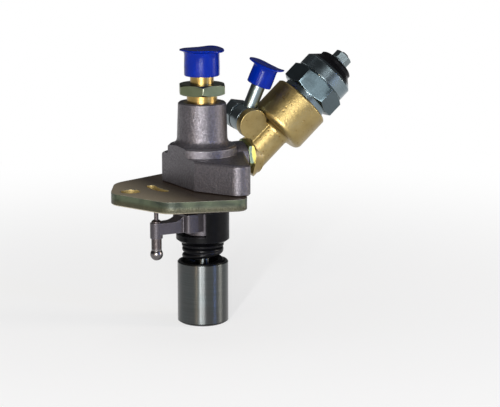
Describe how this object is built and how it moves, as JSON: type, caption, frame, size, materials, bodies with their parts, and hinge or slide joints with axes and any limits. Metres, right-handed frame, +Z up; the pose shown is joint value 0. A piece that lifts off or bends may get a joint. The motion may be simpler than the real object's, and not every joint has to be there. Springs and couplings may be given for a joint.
{
  "type": "diesel injection pump",
  "caption": "Flange-mounted single-plunger diesel injection pump with control lever, spring tappet, brass inlet elbow, shut-off solenoid and blue transit caps.",
  "frame": {"origin": "on the pump axis at the underside of the mounting plate", "axes": "+Z up the pump axis towards the outlet, +X along the fuel inlet, control lever towards -X"},
  "size_m": [0.1119, 0.0752, 0.1188],
  "materials": {
    "cast_body": "as cast, fine sand grain",
    "zinc_plate": "yellow zinc passivate over pressed steel",
    "black_oxide": "black oxide, oiled",
    "lever_steel": "dark phosphated steel",
    "ground_steel": "ground and honed",
    "zinc_fitting": "turned steel, pale green zinc passivate",
    "brass": "cast and tumbled, satin",
    "zinc_solenoid": "turned steel, blue-clear zinc passivate",
    "blue_cap": "moulded polyethylene",
    "black_rubber": "moulded",
    "copper": "soft copper",
    "soft_iron": "turned"
  },
  "bodies": {
    "root": {"pump_body": "cast_body", "mounting_flange": "zinc_plate", "guide_sleeve": "black_oxide", "upper_spring_seat": "black_oxide", "barrel": "ground_steel", "barrel_locating_pin": "ground_steel", "delivery_valve_seat": "ground_steel", "delivery_valve_holder": "zinc_fitting", "inlet_stub": "zinc_fitting", "inlet_lock_nut": "zinc_fitting", "elbow_body": "brass", "solenoid_housing": "zinc_solenoid", "banjo_eye": "zinc_solenoid", "inlet_nipple": "zinc_solenoid", "hollow_bolt": "zinc_solenoid", "terminal_washer": "zinc_solenoid", "terminal_nut": "zinc_solenoid", "holder_o_ring": "black_rubber", "solenoid_o_ring": "black_rubber", "terminal_insulator": "black_rubber", "delivery_gasket": "copper", "banjo_washers": "copper", "solenoid_coil": "copper", "solenoid_core": "soft_iron", "terminal_stud": "soft_iron"},
    "lever": {"control_lever": "lever_steel", "lever_ball_pin": "lever_steel"},
    "tappet_group": {"tappet": "ground_steel", "tappet_shim": "ground_steel", "lower_spring_seat": "ground_steel", "plunger_spring": "black_oxide"},
    "plunger": {"plunger": "ground_steel"},
    "delivery_valve": {"delivery_valve": "ground_steel", "delivery_valve_spring": "ground_steel"},
    "armature": {"armature": "soft_iron", "armature_seal": "black_rubber", "armature_spring": "ground_steel"},
    "outlet_cap": {"outlet_cap": "blue_cap"},
    "nipple_cap": {"nipple_cap": "blue_cap"}
  },
  "joints": [
    {"name": "tappet_lift", "type": "slide", "parent": "root", "child": "tappet_group", "axis": [0, 0, 1], "range_m": [0, 0.007], "stiffness_N_per_m": 3000, "springref_m": -0.006, "deforming": ["plunger_spring"]},
    {"name": "lever_swing", "type": "hinge", "parent": "root", "child": "lever", "pos_m": [0, 0, -0.0105], "axis": [0, 0, 1], "range_deg": [-18, 18]},
    {"name": "plunger_turn", "type": "hinge", "parent": "tappet_group", "child": "plunger", "pos_m": [0, 0, -0.048], "axis": [0, 0, 1], "range_deg": [-18, 18]},
    {"name": "delivery_valve_lift", "type": "slide", "parent": "root", "child": "delivery_valve", "axis": [0, 0, 1], "range_m": [0, 0.0025], "stiffness_N_per_m": 60, "springref_m": -0.002, "deforming": ["delivery_valve_spring"]},
    {"name": "armature_lift", "type": "slide", "parent": "root", "child": "armature", "axis": [0.7071, -0.147, 0.6917], "range_m": [0, 0.0016], "stiffness_N_per_m": 400, "springref_m": -0.002},
    {"name": "outlet_cap_lift", "type": "slide", "parent": "root", "child": "outlet_cap", "axis": [0, 0, 1], "range_m": [0, 0.012]},
    {"name": "nipple_cap_lift", "type": "slide", "parent": "root", "child": "nipple_cap", "axis": [0.3156, -0.1973, 0.9281], "range_m": [0, 0.011]}
  ],
  "couplings": [
    {"joint": "plunger_turn", "follows": "lever_swing", "ratio": 1}
  ]
}
